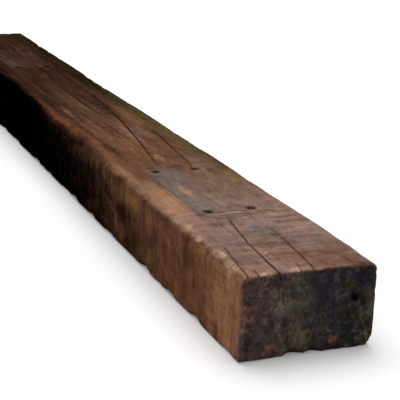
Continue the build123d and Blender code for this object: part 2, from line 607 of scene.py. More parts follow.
@dataclass(frozen=True)
class Checks:
    """The many short hairline cracks of one face, each in a lane of its own so that no two meet."""

    length: float
    breadth: float
    lane: float
    pitch: float
    share: float
    crack_length: float
    crack_width: float
    crack_depth: float
    seed: int

    STATIONS = 9
    MARGIN = 2.0
    TIP_DEPTH_SHARE = 0.12
    TIP_WIDTH_SHARE = 0.1
    PINCH = 0.85
    BEND = Grain((30, 9, 12), seed=2.0, amount=5)
    BEND_LENGTH = 50
    LANE_SLACK = 0.3
    LEAST_SIZE = (0.35, 0.5, 0.5)

    def crack(self, graph: ShapeGraph) -> Wire:
        """One crack: a thin lens on the face, pinched to an edge below.

        Args:
            graph: the tree.

        Returns:
            The crack's shape, lying along X with its mouth at the origin.
        """
        block = graph.block(self.STATIONS, 2, 2)
        along, side, level = graph.axes(graph.position())
        opening = graph.maths("SQRT", (1 - along * along).most(0))
        deep = (1 - level) / 2
        reach = self.crack_depth * (self.TIP_DEPTH_SHARE + (1 - self.TIP_DEPTH_SHARE) * opening)
        sunk = deep * (reach + self.MARGIN) - self.MARGIN
        width = self.crack_width * (self.TIP_WIDTH_SHARE + (1 - self.TIP_WIDTH_SHARE) * opening)
        width = width * (1 - self.PINCH * deep)
        bend = graph.sway(graph.vector(along * self.BEND_LENGTH, 0, sunk), self.BEND)
        y = bend + side * width / 2
        return graph.moved(block, graph.vector(along * self.crack_length / 2, y, 0 - sunk))

    def cutters(self, finish: Material, onto: Matrix) -> Thing:
        """Makes all the cracks of the face.

        Args:
            finish: the material of their walls.
            onto: brings the flat sheet of cracks to its face, in metres.

        Returns:
            The cutters as one object, in their place.
        """
        graph = ShapeGraph("checks")
        seed = graph.input("Seed", self.seed, "NodeSocketInt")
        sheet = graph.wire("GeometryNodeMeshGrid", sockets={
            "Size X": self.length - self.pitch, "Size Y": self.breadth - self.lane,
            "Vertices X": max(int(self.length / self.pitch), 2),
            "Vertices Y": max(int(self.breadth / self.lane), 2)})
        slack = ((self.pitch - self.crack_length) / 2, self.lane * self.LANE_SLACK, 0.0)
        jitter = graph.wire("FunctionNodeRandomValue", {"data_type": "FLOAT_VECTOR"}, {
            "Min": (-slack[0], -slack[1], 0.0), "Max": slack, "Seed": seed})
        points = graph.wire("GeometryNodeSetPosition", sockets={"Geometry": sheet, "Offset": jitter})
        chance = {"Probability": self.share, "Seed": self.seed + 1}
        chosen = graph.wire("FunctionNodeRandomValue", {"data_type": "BOOLEAN"}, chance, "Value_003")
        size = graph.wire("FunctionNodeRandomValue", {"data_type": "FLOAT_VECTOR"}, {
            "Min": self.LEAST_SIZE, "Max": (1.0, 1.0, 1.0), "Seed": self.seed + 2})
        cracks = graph.strewn(points, self.crack(graph), Selection=chosen, Scale=size)
        holder = graph.grown(graph.in_metres(cracks, graph.position()), finish, "check_cutters")
        holder.data.transform(onto)
        return holder


@dataclass(frozen=True)
class ScrewHoles:
    """The bored screw holes, their mouths worn wide and a little out of round."""

    seats: list[Seat]
    height: float

    SIDES = 24
    RINGS = 14
    MARGIN = 5.0
    FLARE = 0.4
    FLARE_DEPTH = 3.5
    WEAR = Grain((9, 9, 16), seed=3.3, amount=2.2)

    def cutters(self, finish: Material) -> Thing:
        """Makes a worn bore at each place of each seat.

        Args:
            finish: the material of the bores' walls.

        Returns:
            The bores as one object, in their place.
        """
        graph = ShapeGraph("screw_holes")
        radius = graph.input("Hole radius", self.seats[0].hole_radius)
        height = graph.input("Height", self.height)
        marks = bpy.data.meshes.new("hole_marks")
        marks.from_pydata([(x, y, 0.0) for seat in self.seats for x, y in seat.holes()], [], [])
        holder = placed("hole_marks", marks)
        points = graph.shape_of("Marks", holder)
        bore = graph.wire("GeometryNodeMeshCylinder", {"fill_type": "NGON"}, {
            "Vertices": self.SIDES, "Side Segments": self.RINGS, "Radius": radius,
            "Depth": height + 2 * self.MARGIN})
        place = graph.position()
        flat = graph.vector_maths("MULTIPLY", place, (1, 1, 0))
        spoke = graph.vector_maths("SUBTRACT", flat, graph.nearest("POINTS", points, flat)[0])
        across = graph.vector_maths("LENGTH", spoke, output="Value")
        sunk = (height / 2 - graph.axes(place)[2]).most(0)
        flare = self.FLARE * graph.maths("EXPONENT", sunk / -self.FLARE_DEPTH)
        grown = graph.scaled(spoke, (flare + graph.sway(place, self.WEAR)) / across.most(1))
        shifted = graph.vector_maths("ADD", graph.vector_maths("ADD", place, grown), (0, 0, self.height / 2))
        made = graph.grown(graph.in_metres(graph.strewn(points, bore), shifted), finish, "hole_cutters")
        bpy.data.objects.remove(holder)
        return made


@dataclass(frozen=True)
class KnotHole:
    """The pit that a small knot has left in one end."""

    end: float
    across: float
    height: float
    radius: float
    depth: float
    stretch: float = 1.35

    SIDES = 18
    RINGS = 6
    MARGIN = 6.0
    TIP_SHARE = 0.3
    LEAST_SIZE = 0.7
    UNEVEN = Grain((7, 7, 9), seed=4.8, amount=0.6)

    def cutter(self, finish: Material) -> Thing:
        """Makes the uneven cone that opens the pit.

        Args:
            finish: the material of the pit's walls.

        Returns:
            The cutter, in its place.
        """
        graph = ShapeGraph("knot_hole")
        radius, depth = graph.inputs(self, "radius", "depth")
        cone = graph.wire("GeometryNodeMeshCone", {"fill_type": "NGON"}, {
            "Vertices": self.SIDES, "Side Segments": self.RINGS, "Radius Top": radius * self.TIP_SHARE,
            "Radius Bottom": radius, "Depth": depth + self.MARGIN})
        along, across, level = graph.axes(graph.position())
        uneven = self.LEAST_SIZE + self.UNEVEN.amount * graph.noise(graph.position(), self.UNEVEN)
        place = graph.vector(self.end + self.MARGIN - level, self.across + across * uneven * self.stretch,
                             self.height + along * uneven)
        return graph.grown(graph.in_metres(cone, place), finish, "knot_cutter")


@dataclass(frozen=True)
class Bites:
    """A row of marks that ballast stones have pressed into a lower edge."""

    radius: float
    depth: float
    pitch: float
    least_share: float


@dataclass(frozen=True)
class Balk:
    """The sawn balk: worn arrises, wane, ballast bites, the beds of the seats and the relief of old wood."""

    length: float
    width: float
    height: float
    seats: list[Seat]
    rows: tuple[int, int, int] = (330, 70, 42)
    crowding: float = 0.25
    arris: float = 10.0
    least_round: float = 0.45
    back_sharpness: float = 0.5
    foot_sharpness: float = 0.35
    foot_soundness: float = 0.9
    foot_reach: float = 80.0
    blunt_corner: float = 10.0
    front_wear: float = 12.0
    handled_share: float = 0.35
    end_arris: float = 6.0
    whole_share: float = 0.75
    upper_chips: float = 0.2
    far_chips: float = 0.5
    wane_length: float = 900.0
    wane_setback: float = 30.0
    wane_centre: float = 200.0
    wane_blend: float = 7.0
    side_bites: Bites = Bites(radius=80.0, depth=12.0, pitch=170.0, least_share=0.6)
    end_bites: Bites = Bites(radius=20.0, depth=15.0, pitch=46.0, least_share=0.8)
    end_bite_count: int = 2
    bite_roughness: float = 6.0
    seat_length: float = 330.0
    seat_width: float = 136.0
    seat_depth: float = 3.0

    ROUNDING = Grain((150, 90, 90), seed=1.0)
    FRONT = Grain((190, 400, 400), seed=2.4, span=(0.4, 0.62))
    SWELL = Grain((430, 120, 120), 1, 0.5, 3.1, 3)
    FIBRE = Grain((260, 11, 11), 3, 0.6, 7.7, 3.4)
    TORN = Grain((150, 17, 17), 3, 0.5, 1.9, 2.6, (0.56, 0.72))
    SAW = Grain((13, 210, 210), 2, 0.5, 4.2, 1.6)
    LUMPS = Grain((90, 38, 30), 2, 0.5, 5.5, 7)
    TUFTS = Grain((40, 11, 9), 3, 0.6, 6.6, 4)
    CHIPS = Grain((85, 30, 30), 3, 0.55, 8.8, 6, (0.5, 0.72))
    LOBES = Grain((90, 40, 40), 1, 0.5, 9.4, 1, (0.45, 0.7))
    FRAY = Grain((60, 10, 10), 2, 0.6, 9.9, 1.2, (0.46, 0.72))
    SPLINTERS = Grain((30, 20, 20), 3, 0.55, 6.4, 4.5, (0.48, 0.64))
    WANE_EDGE = Grain((120, 40, 40), 3, 0.5, 2.7, 9)
    BED_EDGE = Grain((28, 28, 28), 2, 0.5, 6.1, 9)

    def grow(self, finish: Material, cutters: Thing) -> Thing:
        """Makes the balk, still without its splits and holes.

        Args:
            finish: the material of its skin.
            cutters: all the splits and holes, so that the skin knows how near they are.

        Returns:
            The balk, in its place.
        """
        graph = ShapeGraph("balk")
        half = [size / 2 for size in graph.inputs(self, "length", "width", "height")]
        block = graph.block(*self.rows)
        sawn = [axis * (1 + self.crowding - self.crowding * axis * axis) * reach
                for axis, reach in zip(graph.axes(graph.position()), half)]
        place, facing = self.worn_round(graph, sawn, half)
        hollow = self.relief(graph, place, facing, half)
        place = graph.vector_maths("SUBTRACT", place, graph.scaled(facing, hollow))
        place = self.waned(graph, place, half)
        place = self.bitten(graph, place, half, self.side_bites, int(self.length // self.side_bites.pitch))
        place = self.bitten(graph, place, half, self.end_bites, self.end_bite_count)
        place = self.bedded(graph, place, facing)
        place = graph.scaled(graph.vector_maths("ADD", place, (0, 0, self.height / 2)), METRES)
        block = graph.kept(block, Kept.FACING.value, "FLOAT_VECTOR", facing)
        block = graph.kept(block, Kept.HOLLOW.value, "FLOAT", hollow)
        gap = graph.nearest("FACES", graph.shape_of("Cutters", cutters), place)[1]
        block = graph.kept(block, Kept.SPLIT_GAP.value, "FLOAT", gap / METRES)
        return graph.grown(graph.moved(block, place), finish, "balk")

    def worn_round(self, graph: ShapeGraph, sawn: Sequence[Wire], half: Sequence[Wire]) -> tuple[Wire, Wire]:
        """Rounds every arris, more in some places than in others.

        Args:
            graph: the tree.
            sawn: the place on the square balk, by its parts.
            half: half of the balk's size along each axis.

        Returns:
            The place on the rounded balk, and the way that the skin faces there.
        """
        square = graph.vector(*sawn)
        uneven = self.least_round + graph.noise(square, self.ROUNDING)
        back = graph.smooth(sawn[1] - half[1], -80, -20)
        front = graph.smooth(sawn[1] + half[1], 80, 20) * graph.smooth(sawn[2], -20, 40)
        corner = graph.smooth(sawn[0] - half[0], -120, -20) * back * graph.smooth(abs(sawn[2]), 30, 65)
        worn = graph.patches(square, self.FRONT) * front
        handled = graph.smooth(sawn[0] - half[0], -420, -240) * front * self.handled_share
        sharper = 1 - self.back_sharpness * back
        long_radius = self.arris * uneven * sharper
        long_radius = long_radius + self.blunt_corner * corner + self.front_wear * worn.most(handled)
        long_radius = long_radius * (1 - self.foot_sharpness * self.near_foot(graph, sawn, half))
        radii = (self.end_arris * uneven * sharper, long_radius, long_radius)
        inner = graph.vector(*[axis.least(reach - radius).most(radius - reach)
                               for axis, reach, radius in zip(sawn, half, radii)])
        ball = graph.vector(*radii)
        spoke = graph.vector_maths("DIVIDE", graph.vector_maths("SUBTRACT", square, inner), ball)
        facing = graph.vector_maths("NORMALIZE", spoke)
        return graph.vector_maths("MULTIPLY_ADD", facing, ball, inner), facing

    def near_foot(self, graph: ShapeGraph, place: Sequence[Wire], half: Sequence[Wire]) -> Wire:
        """How near the lower front corner of the near end is, which has stayed whole.

        Args:
            graph: the tree.
            place: the place, by its parts.
            half: half of the balk's size along each axis.

        Returns:
            A share from 0 to 1.
        """
        apart = (half[0] - place[0], half[1] + place[1], half[2] + place[2])
        shares = [graph.smooth(gap, self.foot_reach, self.foot_reach / 4) for gap in apart]
        return shares[0] * shares[1] * shares[2]

    def relief(self, graph: ShapeGraph, place: Wire, facing: Wire, half: Sequence[Wire]) -> Wire:
        """How far the skin has worn in: swells, raised fibre, torn strips, saw marks and broken arrises.

        Args:
            graph: the tree.
            place: the place on the rounded balk.
            facing: the way that the skin faces.
            half: half of the balk's size along each axis.

        Returns:
            The depth, in millimetres.
        """
        x, y, z = graph.axes(place)
        to_end, to_side, to_face = [reach - abs(axis) for reach, axis in zip(half, (x, y, z))]
        end_facing, side_facing, face_facing = graph.axes(facing)
        endwise = graph.smooth(abs(end_facing), 0.5, 0.8)
        near_back = graph.smooth(x - half[0], -90, -20) * graph.smooth(side_facing, 0.3, 0.8)
        whole = near_back.most(graph.smooth(face_facing, -0.3, -0.8))
        sound = 1 - self.foot_soundness * self.near_foot(graph, (x, y, z), half)
        low = graph.smooth(z, 20, -50)
        far_back = graph.smooth(x, 150, -250) * graph.smooth(y, 40, 90)
        chipped = self.upper_chips + (1 - self.upper_chips) * low.most(far_back * self.far_chips)
        long_arris = graph.smooth(to_side.most(to_face), 30, 3) * chipped
        end_arris = graph.smooth(to_end.most(to_side.least(to_face)), 24, 2)
        upper_front = graph.smooth(y + half[1], 30, 6) * graph.smooth(z - half[2], -26, -4)
        broken = upper_front * graph.smooth(x - half[0], -340, -220)
        swell, fibre, saw, lumps, tufts = [
            graph.wear(place, grain) for grain in (self.SWELL, self.FIBRE, self.SAW, self.LUMPS, self.TUFTS)]
        torn, chips, lobes, fray, splinters = [
            graph.patches(place, grain)
            for grain in (self.TORN, self.CHIPS, self.LOBES, self.FRAY, self.SPLINTERS)]
        long_faces = (swell + fibre + torn + saw) * (1 - endwise) * (1 - self.whole_share * whole)
        end_faces = (lumps + tufts) * endwise
        arrises = chips * long_arris + (lobes + fray) * end_arris
        return long_faces + end_faces * sound + arrises * sound + splinters * broken

    def waned(self, graph: ShapeGraph, place: Wire, half: Sequence[Wire]) -> Wire:
        """Planes one top arris down to the log's own round edge.

        Args:
            graph: the tree.
            place: the place before.
            half: half of the balk's size along each axis.

        Returns:
            The place after.
        """
        x, y, z = graph.axes(place)
        rise = (z - half[2] - y - half[1]) * ROOT_HALF
        share = (x - self.wane_centre) / (self.wane_length / 2)
        bare = (1 - share * share).most(0)
        over = rise + bare * (self.wane_setback * ROOT_HALF + graph.sway(place, self.WANE_EDGE))
        shaved = graph.maths("SMOOTH_MAX", over, 0.0, self.wane_blend) * ROOT_HALF
        return graph.vector(x, y + shaved, z - shaved)

    def bitten(self, graph: ShapeGraph, place: Wire, half: Sequence[Wire], bites: Bites, count: int) -> Wire:
        """Presses two rows of ballast stones into the lower edges, one on each side or one at each end.

        Args:
            graph: the tree.
            place: the place before.
            half: half of the balk's size along each axis.
            bites: the marks that the stones leave.
            count: how many stones each row has.

        Returns:
            The place after.
        """
        index = graph.wire("GeometryNodeInputIndex")
        row = graph.maths("FLOOR", (index + 0.5) / count)
        number = index - row * count
        uneven = graph.maths("FRACT", (number + row * 2 * count) * GOLDEN_SHARE)
        side = row * 2 - 1
        along = (number - (count - 1) / 2 + (uneven - 0.5) / 2) * bites.pitch
        depth = bites.depth * (bites.least_share + (1 - bites.least_share) * uneven)
        out = (bites.radius - depth) * ROOT_HALF
        drop = 0 - half[2] - out
        if bites is self.side_bites:
            stones = graph.vector(along, side * (half[1] + out), drop)
        else:
            stones = graph.vector(side * (half[0] + out), along, drop)
        points = graph.wire("GeometryNodePoints", sockets={"Count": 2 * count, "Position": stones})
        middle, gap = graph.nearest("POINTS", points, place)
        gap = gap.most(1)
        rough = graph.sway(place, Grain((36, 30, 30), seed=bites.radius / 10, amount=self.bite_roughness))
        push = (bites.radius + rough - gap).most(0)
        return graph.vector_maths("ADD", place, graph.scaled(
            graph.vector_maths("SUBTRACT", place, middle), push / gap))

    def bedded(self, graph: ShapeGraph, place: Wire, facing: Wire) -> Wire:
        """Sinks the bed of each baseplate into the top face.

        Args:
            graph: the tree.
            place: the place before.
            facing: the way that the skin faces.

        Returns:
            The place after.
        """
        x, y, z = graph.axes(place)
        along, across = self.past_seat(x, y)
        inside = graph.smooth(along.most(across) + graph.sway(place, self.BED_EDGE), 3.0, -3.0)
        upward = graph.smooth(graph.axes(facing)[2], 0.4, 0.9)
        return graph.vector(x, y, z - inside * upward * self.seat_depth)

    def past_seat(self, x: Wire, y: Wire) -> tuple[Wire, Wire]:
        """How far a place lies past the edge of the nearest bed, along and across.

        Args:
            x: the place along the sleeper.
            y: the place across it.

        Returns:
            The two distances, less than 0 inside the bed.
        """
        seat = self.seats[0]
        along = abs(abs(x) - abs(seat.middle)) - self.seat_length / 2
        return along, abs(y - seat.offset) - self.seat_width / 2


@dataclass(frozen=True)
class Palette:
    """The colours of the weathered timber."""

    silver: Paint = paint(135, 108, 96)
    red_brown: Paint = paint(103, 72, 54)
    dark_brown: Paint = paint(54, 34, 25)
    flank: Paint = paint(105, 69, 50)
    fresh: Paint = paint(142, 101, 76)
    rust: Paint = paint(126, 76, 50)
    ochre: Paint = paint(140, 104, 62)
    tan: Paint = paint(170, 128, 97)
    pale: Paint = paint(204, 166, 130)
    slate: Paint = paint(112, 104, 101)
    plum: Paint = paint(76, 50, 46)
    # dark soaked brown, also laid as painted shade over the top's front edge, the wane, the plate's near edge
    # and the front side
    soaked_and_shade: Paint = paint(44, 27, 19)
    # tar black, also laid as painted shade on the front side and on the far front edge of the top
    tar_and_shade: Paint = paint(3, 2, 2)
    algae: Paint = paint(86, 73, 46)
    shaded_algae: Paint = paint(42, 35, 17)
    end_pale: Paint = paint(124, 104, 98)
    end_plum: Paint = paint(83, 67, 65)
    end_green: Paint = paint(78, 72, 61)
    end_black: Paint = paint(42, 41, 43)
    end_navy: Paint = paint(37, 37, 47)
    lichen: Paint = paint(104, 98, 68)
    end_rose: Paint = paint(138, 110, 108)
    end_blue: Paint = paint(74, 78, 92)
    ember: Paint = paint(124, 88, 66)
    # dark dirt, also laid as painted shade in the hollows and beside the splits
    dirt_and_shade: Paint = paint(36, 25, 20)
    # pale rim of the bores: partly torn fibre, partly painted light against the shade inside the bore; the
    # dark bore colour below is painted shade
    torn_and_lit_bore_rim: Paint = paint(180, 142, 118)
    bore: Paint = paint(26, 17, 14)


TONES = Palette()


@dataclass(frozen=True)
class Stain:
    """A soft-edged mark on the skin: where it is, how far it reaches, its colour and how strong it is."""

    middle: Triple
    reach: Triple
    colour: Paint
    share: float


TOP_LEVEL, TOP_REACH = 150, 30
SIDE_PLACE, SIDE_REACH = -125, 20
END_PLACE, END_REACH = 1250, 40

ARRIS_STAINS = (
    Stain((830, -92, 150), (190, 40, 26), TONES.tan, 0.65),
    Stain((600, -106, 148), (150, 18, 22), TONES.tan, 0.4),
    Stain((430, -98, 146), (150, 13, 22), TONES.tan, 0.12),
    Stain((1010, -108, 150), (60, 16, 18), TONES.tan, 0.25),
    Stain((970, -114, 147), (140, 20, 20), TONES.tan, 0.25),
    Stain((1170, -118, 146), (110, 20, 24), TONES.tan, 0.3),
    Stain((1236, -112, 146), (30, 24, 18), TONES.tan, 0.6),
    Stain((1047, -114, 150), (16, 9, 12), TONES.pale, 0.6),
    Stain((1137, -108, 150), (20, 10, 12), TONES.pale, 0.7),
    Stain((983, -108, 150), (24, 9, 12), TONES.pale, 0.5),
    Stain((1190, -112, 150), (26, 12, 12), TONES.pale, 0.5),
    Stain((1066, -122, 144), (26, 9, 9), TONES.soaked_and_shade, 0.55),
    Stain((1104, -120, 145), (20, 8, 8), TONES.soaked_and_shade, 0.6),
    Stain((1160, -121, 144), (24, 8, 8), TONES.plum, 0.6),
    Stain((1020, -120, 145), (24, 8, 8), TONES.plum, 0.6),
    Stain((1214, -122, 143), (18, 8, 9), TONES.plum, 0.5),
    Stain((1078, -124, 140), (40, 12, 18), TONES.ochre, 0.55),
    Stain((1247, -78, 148), (16, 22, 14), TONES.pale, 0.5),
    Stain((1236, -20, 148), (14, 24, 14), TONES.pale, 0.45),
    Stain((1242, 14, 148), (14, 14, 14), TONES.pale, 0.4),
    Stain((1200, 60, 150), (180, 120, 40), TONES.red_brown, 0.62),
)

TOP_MARKS = (
    (560, 80, 110, 40, TONES.silver, 0.3),
    (1130, -84, 130, 40, TONES.red_brown, 0.22),
    (0, 0, 150, 50, TONES.red_brown, 0.25),
    (1040, 5, 90, 40, TONES.slate, 0.6),
    (1082, -68, 55, 22, TONES.slate, 0.55),
    (1113, 58, 70, 30, TONES.slate, 0.5),
    (1084, -5, 40, 14, TONES.ochre, 0.5),
    (650, -14, 100, 46, TONES.slate, 0.5),
    (892, -45, 60, 34, TONES.slate, 0.5),
    (775, -54, 130, 12, TONES.slate, 0.4),
    (759, -27, 66, 17, TONES.tan, 0.5),
    (597, -58, 34, 15, TONES.ember, 0.75),
    (516, 7, 50, 15, TONES.tan, 0.4),
    (40, -66, 80, 14, TONES.silver, 0.3),
    (430, -74, 120, 13, TONES.soaked_and_shade, 0.6),
    (715, 103, 90, 18, TONES.ochre, 0.45),
    (266, 48, 100, 20, TONES.silver, 0.4),
    (300, 12, 110, 22, TONES.slate, 0.3),
    (400, -15, 130, 26, TONES.ochre, 0.3),
    (-60, 54, 220, 20, TONES.plum, 0.35),
    (120, 76, 240, 14, TONES.ochre, 0.3),
)

SIDE_MARKS = (
    (878, 136, 130, 18, TONES.plum, 0.6),
    (1020, 103, 46, 30, TONES.soaked_and_shade, 0.5),
    (1205, 70, 80, 100, TONES.fresh, 0.5),
    (728, 41, 46, 34, TONES.tar_and_shade, 0.6),
    (705, 118, 70, 24, TONES.ochre, 0.4),
    (966, 32, 90, 34, TONES.rust, 0.2),
    (818, 34, 70, 28, TONES.algae, 0.3),
)

END_MARKS = (
    (22, 104, 34, 44, TONES.end_navy, 0.7),
    (21, 15, 28, 16, TONES.end_navy, 0.6),
    (-109, 32, 20, 18, TONES.end_navy, 0.6),
    (-46, 78, 26, 60, TONES.end_pale, 0.2),
    (-18, 88, 26, 26, TONES.end_green, 0.5),
    (76, 114, 22, 20, TONES.shaded_algae, 0.6),
    (-16, 32, 32, 20, TONES.lichen, 0.42),
    (106, 128, 26, 26, TONES.end_navy, 0.8),
    (106, 92, 22, 26, TONES.shaded_algae, 0.65),
    (14, 52, 20, 18, TONES.end_black, 0.4),
    (116, 99, 14, 14, TONES.lichen, 0.35),
    (-80, 66, 26, 34, TONES.end_black, 0.45),
    (-104, 85, 18, 24, TONES.rust, 0.3),
    (-100, 124, 24, 18, TONES.plum, 0.5),
    (-49, 97, 5, 26, TONES.ember, 0.45),
    (-43, 60, 4, 26, TONES.dirt_and_shade, 0.6),
    (-36, 28, 4, 24, TONES.dirt_and_shade, 0.7),
    (50, 22, 19, 9, TONES.ember, 0.75),
    (-4, 41, 15, 8, TONES.ember, 0.5),
    (-70, 20, 13, 8, TONES.ember, 0.5),
    (-121, 75, 9, 50, TONES.ember, 0.5),
    # painted shade: a black mark over the knot pit
    (85, 91, 11, 11, TONES.tar_and_shade, 0.9),
)

LONG_STAINS = (
    *ARRIS_STAINS,
    *(Stain((x, y, TOP_LEVEL), (along, across, TOP_REACH), colour, share)
      for x, y, along, across, colour, share in TOP_MARKS),
    Stain((90, -98, 146), (330, 13, 24), TONES.rust, 0.35),
    *(Stain((x, SIDE_PLACE, z), (along, SIDE_REACH, up), colour, share)
      for x, z, along, up, colour, share in SIDE_MARKS),
)
END_STAINS = tuple(Stain((END_PLACE, y, z), (END_REACH, across, up), colour, share)
                   for y, z, across, up, colour, share in END_MARKS)


@dataclass(frozen=True)
class Patch:
    """Scattered patches of one colour: their size, the span of their soft edge, their seed and strength."""

    cell: Triple
    span: Span
    seed: float
    colour: Paint
    share: float


class Skin:
    """What the colours of the skin are worked out from: its tree, the place on it, and the shared noises."""

    FIXED = {
        "cloud": Grain((170, 60, 80), 3, 0.55, 2.2),
        "mottle": Grain((46, 24, 26), 4, 0.62, 5.6),
        "grit": Grain((12, 6, 6), 4, 0.7, 8.3),
    }
    LOOSE = {
        "fibre": Grain((230, 6, 6), 5, 0.7, 1.1),
        "saw": Grain((23, 130, 150), 5, 0.7, 3.3),
        "streak": Grain((9, 60, 95), 4, 0.65, 6.7),
        "pits": Grain((30, 7, 10), 5, 0.7, 7.2),
        "bands": Grain((420, 17, 20), 4, 0.6, 9.1),
    }

    def __init__(self, graph: ShaderGraph) -> None:
        """Reads the place and lays out the noises, each of them about 0.

        Args:
            graph: the material's tree.
        """
        self.graph = graph
        self.place = graph.place()
        self.x, self.y, self.z = graph.axes(self.place)
        loose = graph.warped(self.place, cell=34, reach=22, seed=1.0)
        self.noises = {name: graph.sway(self.place, grain) for name, grain in self.FIXED.items()}
        self.noises.update({name: graph.sway(loose, grain) for name, grain in self.LOOSE.items()})

    def mixed(self, base: Value = 0.0, **shares: Value) -> Value:
        """A value with a share of each named noise added to it.

        Args:
            base: the value.
            shares: how much of each noise is added, by the noise's name.

        Returns:
            The sum.
        """
        for name, share in shares.items():
            base = self.noises[name] * share + base
        return base

    def zone(self, place: Value, start: float, whole: float, **shares: Value) -> Wire:
        """A soft-edged zone, with an edge that the named noises shift.

        Args:
            place: where along one axis.
            start: where the zone begins.
            whole: where it is whole.
            shares: how far each noise shifts the edge.

        Returns:
            The mask, from 0 to 1.
        """
        return self.graph.smooth(self.mixed(place, **shares), start, whole)

    def patches(self, patch: Patch) -> Wire:
        """The mask of scattered patches, from 0 to 1."""
        return self.graph.patches(self.place, Grain(patch.cell, 4, 0.6, patch.seed, span=patch.span))


class Coat:
    """A colour in the making: each call lays one more colour over what is there."""

    def __init__(self, skin: Skin, colour: Colour) -> None:
        """Starts on one colour."""
        self.skin = skin
        self.colour = colour

    def lay(self, over: Colour, where: Value, share: float = 1.0, mode: str = "MIX") -> None:
        """Lays a colour over the rest.

        Args:
            over: the colour.
            where: the mask of where it lies.
            share: how strong it is there.
            mode: how it acts on the colour below.
        """
        self.colour = self.skin.graph.tint(where * share, self.colour, over, mode)

    def patch(self, patch: Patch, where: Value = 1.0) -> None:
        """Lays scattered patches over the rest, inside a mask."""
        self.lay(patch.colour, self.skin.patches(patch) * where, patch.share)

    def stain(self, stains: Sequence[Stain], place: Wire, broken: Wire) -> None:
        """Lays soft marks over the rest, one after the other.

        Args:
            stains: the marks.
            place: the place on the piece, in millimetres.
            broken: how much of a mark the grain has taken up, about 1.
        """
        graph = self.skin.graph
        for stain in stains:
            apart = graph.vector_maths("SUBTRACT", place, stain.middle)
            apart = graph.vector_maths("DIVIDE", apart, stain.reach)
            inside = graph.smooth(graph.vector_maths("LENGTH", apart, output="Value"), 1.0, 0.2)
            self.lay(stain.colour, inside * broken, stain.share)

    def shade(self, tone: Wire) -> None:
        """Makes the colour lighter or darker, evenly in all its parts."""
        self.colour = self.skin.graph.scaled(self.colour, tone)


@dataclass(frozen=True)
class SplitWalls:
    """The bare walls inside the splits and the holes: brown at the mouth, with painted shade darkening them
    further down.
    """

    height: float
    name: str = "split_walls"
    mouth: Paint = paint(140, 84, 60)
    depth: Paint = paint(56, 31, 23)
    fade: Span = (3.0, 14.0)
    grain_share: float = 0.6
    far_dimming: float = 0.75
    far_span: Span = (640.0, 440.0)
    gloss: float = 0.02
    relief: float = 0.8
    relief_strength: float = 0.6

    GRAIN = Grain((60, 3, 7), 3, 0.6, 1.2)
    DULL_SPAN = (0.65, 0.35)

    def material(self) -> Material:
        """Makes the material.

        Returns:
            The finish of the walls.
        """
        graph = ShaderGraph(self.name)
        place = graph.place()
        x, _, z = graph.axes(place)
        grain = graph.noise(place, self.GRAIN)
        lit = graph.tint(graph.smooth(grain, *self.DULL_SPAN) * self.grain_share, self.mouth, self.depth)
        # painted shade: the walls darken with depth below the top
        deep = graph.smooth(self.height - z, *self.fade)
        far = graph.smooth(x, *self.far_span) * self.far_dimming
        colour = graph.tint(deep.most(far), lit, self.depth)
        normal = graph.bumped(grain, self.relief, self.relief_strength)
        return graph.close(colour, 0.8 + 0.15 * grain, normal, self.gloss)


